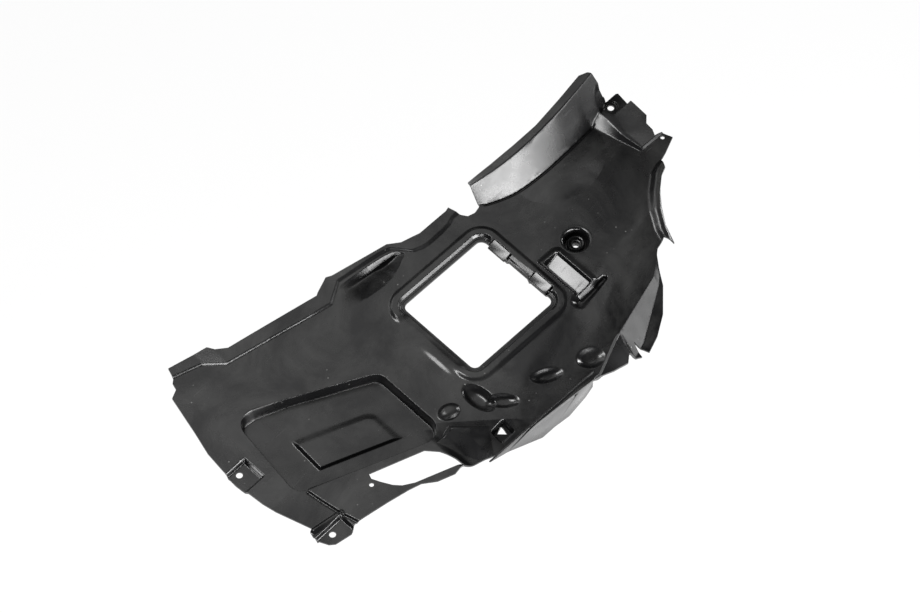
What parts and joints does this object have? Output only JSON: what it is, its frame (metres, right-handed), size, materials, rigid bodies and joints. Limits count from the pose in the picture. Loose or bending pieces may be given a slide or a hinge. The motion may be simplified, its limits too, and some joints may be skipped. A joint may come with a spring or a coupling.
{
  "type": "wheel arch liner",
  "caption": "Moulded black plastic wheel arch liner section with an access window, a formed recess, a curved side wall and screw tabs.",
  "frame": {"origin": "axis of the screw boss's hole, on the floor of its cup", "axes": "+X along the panel towards the end with the raised plate, +Y towards the edge with the curved wall, +Z out of the face that the screws go in from"},
  "size_m": [0.679, 0.356, 0.1166],
  "materials": {
    "black_plastic": "satin black moulded plastic with a fine grain and light handling marks"
  },
  "bodies": {
    "root": {"liner_panel": "black_plastic"}
  },
  "joints": []
}
